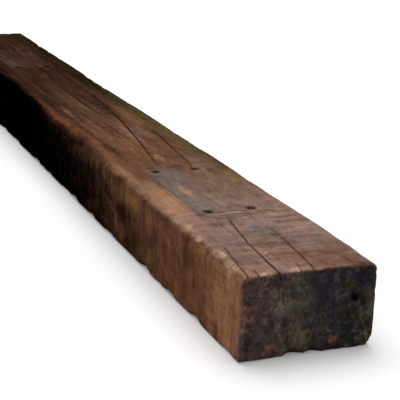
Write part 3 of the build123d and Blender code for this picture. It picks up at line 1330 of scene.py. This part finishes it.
@dataclass(frozen=True)
class Timber:
    """The weathered skin: silvered and worn on top, black along one side with tar and painted shade, black
    and lichened at the ends.
    """

    balk: Balk
    gloss: float = 0.0
    relief: float = 2.4
    relief_strength: float = 0.8
    # where the front side's black, partly tar and partly painted shade, is whole, how far it fades and how it
    # curves
    blackening_whole: float = 78.0
    blackening_fade: float = 560.0
    blackening_curve: float = 3.0
    damp_shade_rise: float = 245.0
    damp_shade_start: float = 30.0
    fringe: float = 24.0

    RUST = Patch((220, 24, 50), (0.48, 0.7), 3.4, TONES.rust, 1.0)
    SLATE = Patch((70, 30, 50), (0.5, 0.66), 4.1, TONES.slate, 0.35)
    OCHRE = Patch((80, 20, 50), (0.54, 0.68), 5.3, TONES.ochre, 0.22)
    PLUM = Patch((90, 16, 50), (0.55, 0.68), 6.8, TONES.plum, 0.38)
    SCUFFS = Patch((70, 16, 40), (0.56, 0.68), 9.7, TONES.tan, 0.26)
    BACK_ALGAE = Patch((150, 60, 50), (0.42, 0.62), 1.4, TONES.shaded_algae, 0.7)
    SIDE_STREAKS = (
        Patch((22, 40, 110), (0.5, 0.68), 6.2, TONES.ochre, 0.35),
        Patch((26, 40, 90), (0.5, 0.66), 7.9, TONES.plum, 0.45),
        Patch((26, 40, 110), (0.54, 0.68), 2.9, TONES.soaked_and_shade, 0.4),
    )
    TAR_FLAKES = Patch((20, 14, 15), (0.5, 0.72), 8.6, TONES.end_plum, 0.13)
    END_BLOTCHES = (
        Patch((50, 16, 17), (0.5, 0.58), 3.7, TONES.end_plum, 0.5),
        Patch((50, 18, 20), (0.5, 0.58), 8.1, TONES.shaded_algae, 0.45),
        Patch((50, 22, 20), (0.5, 0.6), 4.9, TONES.end_navy, 0.6),
    )
    ROSE_FLECKS = Patch((40, 15, 13), (0.54, 0.68), 5.9, TONES.end_rose, 0.55)
    PALE_FLECKS = Patch((40, 17, 15), (0.54, 0.68), 2.3, TONES.end_pale, 0.3)
    BLUE_FLECKS = Patch((40, 14, 14), (0.53, 0.67), 6.6, TONES.end_blue, 0.32)
    MOSS = Patch((40, 9, 26), (0.4, 0.6), 7.3, TONES.lichen, 0.75)

    def material(self) -> Material:
        """Makes the material.

        Returns:
            The finish of the whole skin.
        """
        graph = ShaderGraph("weathered_timber")
        skin = Skin(graph)
        end_facing, _, up_facing = graph.axes(graph.kept(Kept.FACING.value, "Vector"))
        hollow = graph.kept(Kept.HOLLOW.value, "Fac")
        gap = graph.kept(Kept.SPLIT_GAP.value, "Fac")
        endwise = skin.zone(abs(end_facing), 0.4, 0.85, pits=1.4, mottle=1.2)
        upward = skin.zone(up_facing, 0.35, 0.85, mottle=0.8, cloud=0.6)
        sawn = skin.zone(skin.x, 780, 980, cloud=300)
        broken = 0.75 + 0.45 * skin.zone(0.0, -0.16, 0.12, grit=1.0, fibre=0.6, saw=0.4)
        coat = Coat(skin, self.side(skin))
        coat.lay(TONES.soaked_and_shade, skin.zone(up_facing, -0.2, -0.75, mottle=0.8), 0.8)
        coat.lay(self.top(skin), upward)
        coat.stain(LONG_STAINS, graph.warped(skin.place, cell=22, reach=26, seed=3.0), broken)
        coat.shade(self.tone(skin, upward, sawn))
        coat.lay(self.end(skin), endwise)
        # the hollows and the skin beside the splits are darkened: partly dirt, partly painted shade in the
        # recesses
        coat.lay(TONES.dirt_and_shade, graph.smooth(hollow, 2.5, 9.0), 0.5, "DARKEN")
        coat.lay(TONES.dirt_and_shade, graph.smooth(gap, 5.0, 0.0) * (1 - endwise), 0.3, "DARKEN")
        long_height = skin.mixed(0.5, fibre=0.6 - 0.3 * sawn, saw=0.3 + 0.3 * sawn, grit=0.5)
        height = long_height + (skin.mixed(pits=2.0, grit=1.0) - long_height) * endwise
        normal = graph.bumped(height, self.relief, self.relief_strength)
        return graph.close(coat.colour, skin.mixed(0.85, grit=0.2), normal, self.gloss)

    def tone(self, skin: Skin, upward: Wire, sawn: Wire) -> Wire:
        """How light the grain makes the top and the sides, about 1.

        Args:
            skin: the skin.
            upward: how much the skin faces up.
            sawn: how near the end is that still shows the saw.

        Returns:
            The tone.
        """
        side = skin.mixed(1.0, mottle=1.0, saw=1.0, streak=1.2, grit=0.7)
        farther = skin.zone(skin.x, 560, 300)
        calm = 1 - 0.45 * skin.zone(skin.y, -60, -84) * (1 - farther)
        grain = skin.mixed(fibre=0.7 - 0.45 * sawn + 0.4 * farther, saw=0.35 + 1.9 * sawn,
                           grit=0.6 + 0.6 * sawn - 0.2 * farther, mottle=1.3 - 0.3 * farther,
                           streak=1.1 * sawn, bands=2.8 * farther)
        return side + (1 + grain * calm - side) * upward

    def top(self, skin: Skin) -> Wire:
        """The top face: silvered near one end, red-brown beyond, dark at the far end, green along one edge,
        with painted shade along its front edge.

        Args:
            skin: the skin.

        Returns:
            The colour.
        """
        x, y = skin.x, skin.y
        near = skin.zone(x, 560, 920, cloud=600)
        far = skin.zone(x, 480, -400, cloud=400)
        damp = skin.zone(x, 860, 560, cloud=300)
        coat = Coat(skin, TONES.red_brown)
        coat.lay(TONES.silver, near)
        coat.lay(TONES.dark_brown, far)
        coat.patch(self.RUST, 0.3 - 0.14 * far)
        coat.patch(self.SLATE, near)
        coat.patch(self.OCHRE, 1 - far)
        coat.patch(self.PLUM)
        self.print_of_plate(coat, far)
        # painted shade over the front third of the top and over the wane in the far half, then tar and
        # painted shade on the far front edge
        coat.lay(TONES.soaked_and_shade, skin.zone(y, -28, -114, cloud=80) * skin.zone(x, 640, 200, cloud=300), 0.7)
        coat.lay(TONES.soaked_and_shade, skin.zone(y, -90, -112, cloud=50) * skin.zone(x, 640, 380, cloud=300), 0.65)
        coat.lay(TONES.tar_and_shade, skin.zone(y, -96, -114, cloud=40) * skin.zone(x, 360, -60, cloud=300))
        green = skin.graph.tint(far, TONES.algae, TONES.shaded_algae)
        coat.lay(green, skin.zone(y, 68, 102, cloud=90, mottle=40) * damp, 0.9)
        coat.lay(TONES.shaded_algae, skin.zone(y, 110, 124, mottle=20) * damp, 0.6)
        return coat.colour

    def print_of_plate(self, coat: Coat, far: Wire) -> None:
        """The grey print of each baseplate: strongest along its front edge, with a painted shadow line round
        that side and along its near edge.

        Args:
            coat: the top's colour so far, which gets the prints.
            far: how near the dark end is.
        """
        skin, x, y = coat.skin, coat.skin.x, coat.skin.y
        along, across = self.balk.past_seat(x, y)
        edge = skin.mixed(along, mottle=16)
        outside = skin.mixed(along.most(across), mottle=26)
        inside = skin.zone(outside, 4, -6)
        front = skin.zone(y, 40, -40, cloud=160)
        coat.lay(TONES.slate, inside * (0.12 + 0.25 * front) * (1 - 0.7 * far))
        coat.patch(self.SCUFFS, inside * (1 - far))
        # painted shadow line along the near edge of the bed
        near_shadow_line = skin.zone(abs(edge + 3), 10, 3) * skin.zone(y, 60, 30) * skin.zone(across, 2, -4)
        coat.lay(TONES.soaked_and_shade, near_shadow_line * skin.zone(x - abs(self.balk.seats[0].middle), 0, 40), 0.7)
        lip = skin.zone(abs(edge - 9), 8, 2) * skin.zone(abs(y + 30), 50, 20)
        coat.lay(TONES.pale, lip * skin.zone(x, 860, 900), 0.08)
        # painted shadow line round the front side of the bed
        coat.lay(TONES.plum, skin.zone(abs(outside + 2), 5, 1) * skin.zone(y, 60, 20), 0.55)

    def side(self, skin: Skin) -> Wire:
        """The long sides and the underside: fresh brown at the near end, then red-brown, then black with tar
        and painted shade.

        Args:
            skin: the skin.

        Returns:
            The colour.
        """
        x, half = skin.x, self.balk.length / 2
        front = skin.zone(skin.y, 40, -40)
        coat = Coat(skin, TONES.flank)
        coat.lay(TONES.fresh, skin.zone(x, 1060, 1220, mottle=200) * front)
        coat.patch(self.BACK_ALGAE, 1 - front)
        for streaks in self.SIDE_STREAKS:
            coat.patch(streaks)
        # the front side darkens from the near end towards the far end and towards its foot, down to black:
        # partly soaking and tar, partly painted shade
        damp = skin.zone(skin.z, 150, 70) * self.damp_shade_rise - self.damp_shade_start
        reach = skin.mixed(x, mottle=500, saw=300, cloud=300) - damp
        coat.lay(TONES.soaked_and_shade, skin.zone(reach, 840, 400) * front, 0.7)
        bare = ((reach + self.blackening_whole) / self.blackening_fade).most(0).least(1)
        coat.lay(TONES.tar_and_shade, (1 - bare ** self.blackening_curve) * front)
        coat.patch(self.TAR_FLAKES, skin.zone(x, -160, 260, cloud=300) * skin.zone(x, 760, 480) * front)
        coat.lay(TONES.plum, skin.zone(abs(x), half - self.fringe, half, mottle=70, pits=40), 0.6)
        return coat.colour

    def end(self, skin: Skin) -> Wire:
        """The two ends: plum, then green-grey, then blue-black across, with lichen, embers and painted shade
        over the knot pit.

        Args:
            skin: the skin.

        Returns:
            The colour.
        """
        across = skin.mixed(skin.y, cloud=150, mottle=120)
        left = skin.zone(across, 10, -70)
        coat = Coat(skin, TONES.end_plum)
        coat.lay(TONES.end_green, skin.zone(across, -80, -20))
        coat.lay(TONES.end_black, skin.zone(across, -10, 34))
        for blotches in self.END_BLOTCHES:
            coat.patch(blotches)
        coat.patch(self.ROSE_FLECKS, left)
        coat.patch(self.PALE_FLECKS, 1 - left)
        coat.patch(self.BLUE_FLECKS, skin.zone(across, 0, 50))
        mossy = skin.zone(skin.y, 92, 118, mottle=70, cloud=40) * skin.zone(skin.z, 106, 66)
        coat.lay(self.MOSS.colour, mossy * (0.3 + 0.7 * skin.patches(self.MOSS)), self.MOSS.share)
        broken = 0.55 + 0.8 * skin.zone(0.0, -0.14, 0.12, pits=1.0, grit=0.6)
        coat.stain(END_STAINS, skin.graph.warped(skin.place, cell=14, reach=22, seed=5.0), broken)
        coat.shade(skin.mixed(1.0, mottle=2.8, pits=2.1, grit=1.3))
        return coat.colour


@dataclass(frozen=True)
class Floor:
    """The pale floor: white to the camera where it is lit, with the sleeper's soft shadow."""

    reach: float = 30.0
    tone: float = 0.86
    glow: float = 0.14

    def build(self) -> Thing:
        """Lays the floor and dresses it.

        Returns:
            The floor.
        """
        mesh = bpy.data.meshes.new("floor")
        corners = [(along * self.reach, across * self.reach, 0)
                   for along, across in ((-1, -1), (1, -1), (1, 1), (-1, 1))]
        mesh.from_pydata(corners, [], [(0, 1, 2, 3)])
        mesh.materials.append(self.material())
        floor = placed("floor", mesh)
        return floor

    def material(self) -> Material:
        """Makes the material: plain paint, with a glow that only the camera and mirrors see.

        Returns:
            The floor's finish.
        """
        graph = ShaderGraph("floor_paint")
        coat = graph.wire("ShaderNodeBsdfDiffuse", sockets={"Color": (self.tone, self.tone, self.tone, 1)})
        glow = graph.wire("ShaderNodeEmission", sockets={"Strength": graph.seen_straight() * self.glow})
        both = graph.wire("ShaderNodeAddShader", sockets={0: coat, 1: glow})
        graph.node("ShaderNodeOutputMaterial", sockets={"Surface": both})
        return graph.material


@dataclass(frozen=True)
class Studio:
    """The soft light, the white surround and the camera."""

    ambient: float = 0.45
    lamp_strength: float = 2.15
    lamp_spread: float = 50.0
    lamp_from: Triple = (-0.4, 0.06, 1.0)
    camera_place: Triple = (2.811198, -0.846978, 0.79038)
    azimuth: float = 67.479
    pitch: float = 16.711
    roll: float = -2.034
    focal_pixels: float = 1162.768
    frame_pixels: float = 400.0
    sensor: float = 36.0
    sight: float = 200.0

    def build(self) -> None:
        """Sets up the world, the lamp and the camera."""
        scene = bpy.context.scene
        scene.view_settings.view_transform = "Standard"
        scene.world = self.surround()
        self.lamp()
        scene.camera = self.camera()

    def surround(self) -> bpy.types.World:
        """A world that lights softly and is white to the camera.

        Returns:
            The world.
        """
        world = bpy.data.worlds.new("surround")
        world.use_nodes = True
        graph = Graph(world.node_tree)
        strength = graph.seen_straight() * (1 - self.ambient) + self.ambient
        light = graph.wire("ShaderNodeBackground", sockets={"Color": (1, 1, 1, 1), "Strength": strength})
        graph.node("ShaderNodeOutputWorld", sockets={"Surface": light})
        return world

    def lamp(self) -> None:
        """Hangs a broad soft lamp above and behind the sleeper, so far off that the floor is lit evenly."""
        data = bpy.data.lights.new("soft_lamp", "SUN")
        data.angle = math.radians(self.lamp_spread)
        data.energy = self.lamp_strength
        lamp = placed("soft_lamp", data)
        lamp.rotation_euler = Vector(self.lamp_from).to_track_quat("Z", "Y").to_euler()

    def camera(self) -> Thing:
        """The camera at the photograph's place and angle.

        Returns:
            The camera.
        """
        azimuth, pitch, roll = [math.radians(angle) for angle in (self.azimuth, self.pitch, self.roll)]
        back = Vector((math.sin(azimuth) * math.cos(pitch), -math.cos(azimuth) * math.cos(pitch),
                       math.sin(pitch)))
        level = Vector((math.cos(azimuth), math.sin(azimuth), 0))
        down = (-back).cross(level)
        right = math.cos(roll) * level + math.sin(roll) * down
        up = math.sin(roll) * level - math.cos(roll) * down
        data = bpy.data.cameras.new("camera")
        data.sensor_width = self.sensor
        data.lens = self.focal_pixels / self.frame_pixels * self.sensor
        data.clip_end = self.sight
        camera = placed("camera", data)
        turn = Matrix((right, up, back)).transposed().to_4x4()
        camera.matrix_world = Matrix.Translation(self.camera_place) @ turn
        return camera


@dataclass(frozen=True)
class Sleeper:
    """The whole sleeper: the balk, cut by its splits, checks and screw holes."""

    length: float
    width: float
    height: float
    seats: list[Seat]

    SHARP_ANGLE = 50.0
    CHECKED_TOP = 0.9
    CHECKED_SIDE = 0.85

    def splits(self) -> list[Split]:
        """Sets out the splits, each by its first and last point along and across the top face.

        Returns:
            The splits, those that open at an end first.
        """
        past = self.length / 2 + Split.MARGIN
        end, face = SplitKind.END, SplitKind.FACE
        return [
            Split(end, 965, past, -23, -58, mouth=2.9, depth=138, bow=-5, lean=33, seed=1),
            Split(end, 1034, past, 30, 6, mouth=1.5, depth=55, bow=3, lean=-4, seed=2),
            Split(end, 1105, past, -93, -113, mouth=1.0, depth=26, lean=3, seed=3),
            Split(end, 1222, past, -90, -94, mouth=0.7, depth=8, seed=10),
            Split(end, 1208, past, -10, -17, mouth=0.7, depth=7, seed=11),
            Split(end, -past, -1010, 34, 15, mouth=3.6, depth=92, lean=-18, seed=4),
            Split(end, -past, -1080, -40, -58, mouth=2.6, depth=48, lean=6, seed=5),
            Split(face, -165, 583, 59, -21, mouth=3.6, depth=45, bow=11, seed=6),
            Split(face, -245, 135, 8, 14, mouth=5.0, depth=26, bow=-8, seed=7),
            Split(face, 260, 600, 81, 49, mouth=2.2, depth=28, bow=1, seed=8),
            Split(face, -524, -396, 56, 60, mouth=2.8, depth=14, seed=12),
            Split(face, -515, -325, 26, 2, mouth=3.0, depth=18, seed=9),
        ]

    def build(self) -> Thing:
        """Makes the finished sleeper and hands it to the frame.

        Returns:
            The one piece that stands for the sleeper.
        """
        balk = Balk(self.length, self.width, self.height, self.seats)
        walls = SplitWalls(self.height).material()
        # the bores' pale rim is partly torn fibre and partly painted light against the shade in the bore, and
        # their dark depth is painted shade
        bores = SplitWalls(self.height, "bore_walls", TONES.torn_and_lit_bore_rim, TONES.bore, fade=(5.5, 11.0),
                           grain_share=0.3, far_dimming=0.9, far_span=(300.0, -300.0)).material()
        knot = KnotHole(self.length / 2, across=85, height=91, radius=6.5, depth=11)
        cutters = [split.cutter(self.height, walls) for split in self.splits()]
        cutters.append(ScrewHoles(self.seats, self.height).cutters(bores))
        cutters.append(knot.cutter(bores))
        every = self.gathered(cutters)
        piece = balk.grow(Timber(balk).material(), every)
        bpy.data.objects.remove(every)
        piece.name = "weathered_sleeper"
        cutters.extend(self.checked(walls))
        for cutter in cutters:
            cut = piece.modifiers.new("cut", "BOOLEAN")
            cut.operation = "DIFFERENCE"
            cut.solver = "MANIFOLD"
            cut.material_mode = "TRANSFER"
            cut.object = cutter
        settle(piece)
        for cutter in cutters:
            bpy.data.objects.remove(cutter)
        self.cleaned(piece.data)
        piece.data.shade_smooth()
        piece.data.set_sharp_from_angle(angle=math.radians(self.SHARP_ANGLE))
        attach(piece, "root")
        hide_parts(NODE)
        return piece

    def cleaned(self, mesh: bpy.types.Mesh) -> None:
        """Drops the loose slivers that the cuts leave, and the material slots that stand empty.

        Args:
            mesh: the cut mesh.
        """
        for index in reversed(range(len(mesh.materials))):
            if mesh.materials[index] is None:
                mesh.materials.pop(index=index)
        body = bmesh.new()
        body.from_mesh(mesh)
        waiting = set(body.verts)
        shells = []
        while waiting:
            shell = [waiting.pop()]
            for vertex in shell:
                linked = {edge.other_vert(vertex) for edge in vertex.link_edges} & waiting
                waiting -= linked
                shell.extend(linked)
            shells.append(shell)
        largest = max(shells, key=len)
        loose = [vertex for shell in shells if shell is not largest for vertex in shell]
        bmesh.ops.delete(body, geom=loose, context="VERTS")
        body.to_mesh(mesh)
        body.free()

    def gathered(self, cutters: list[Thing]) -> Thing:
        """One object with the meshes of all the cutters, to measure from.

        Args:
            cutters: the cutters, which stay as they are.

        Returns:
            The joined copy.
        """
        graph = ShapeGraph("gathered")
        join = graph.node("GeometryNodeJoinGeometry")
        for cutter in cutters:
            graph.tree.links.new(graph.shape_of("Cutter", cutter).socket, join.inputs[0])
        return graph.grown(Wire(graph, join.outputs[0]), cutters[0].data.materials[0], "every_cutter")

    def checked(self, walls: Material) -> list[Thing]:
        """The hairline cracks of the top and of both long sides.

        Args:
            walls: the material of their walls.

        Returns:
            One object of cutters for each face.
        """
        up = Matrix.Translation((0, 0, self.height * METRES))
        turn = Matrix.Rotation(math.pi / 2, 4, "X")
        front = Matrix.Translation((0, -self.width / 2 * METRES, self.height / 2 * METRES)) @ turn
        back = Matrix.Rotation(math.pi, 4, "Z") @ front
        top = Checks(self.length, self.width * self.CHECKED_TOP, lane=24, pitch=170, share=0.5,
                     crack_length=150, crack_width=1.3, crack_depth=9, seed=11)
        flank = Checks(self.length, self.height * self.CHECKED_SIDE, lane=21, pitch=150, share=0.35,
                       crack_length=130, crack_width=1.2, crack_depth=8, seed=12)
        return [top.cutters(walls, up), flank.cutters(walls, front), flank.cutters(walls, back)]


def main() -> None:
    """Builds the sleeper and its studio, and reports each piece."""
    logging.basicConfig(level=logging.INFO, format="%(message)s")
    low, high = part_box(NODE)
    length, width, height = [(top - bottom) / METRES for bottom, top in zip(low, high)]
    sleeper = Sleeper(length, width, height, seats_of(frame["record"]))
    piece = sleeper.build()
    LOG.info("%s: %d faces", piece.name, len(piece.data.polygons))
    Floor().build()
    Studio().build()
    LOG.info("floor, lamp and camera are in place")


if __name__ == "__main__":
    main()
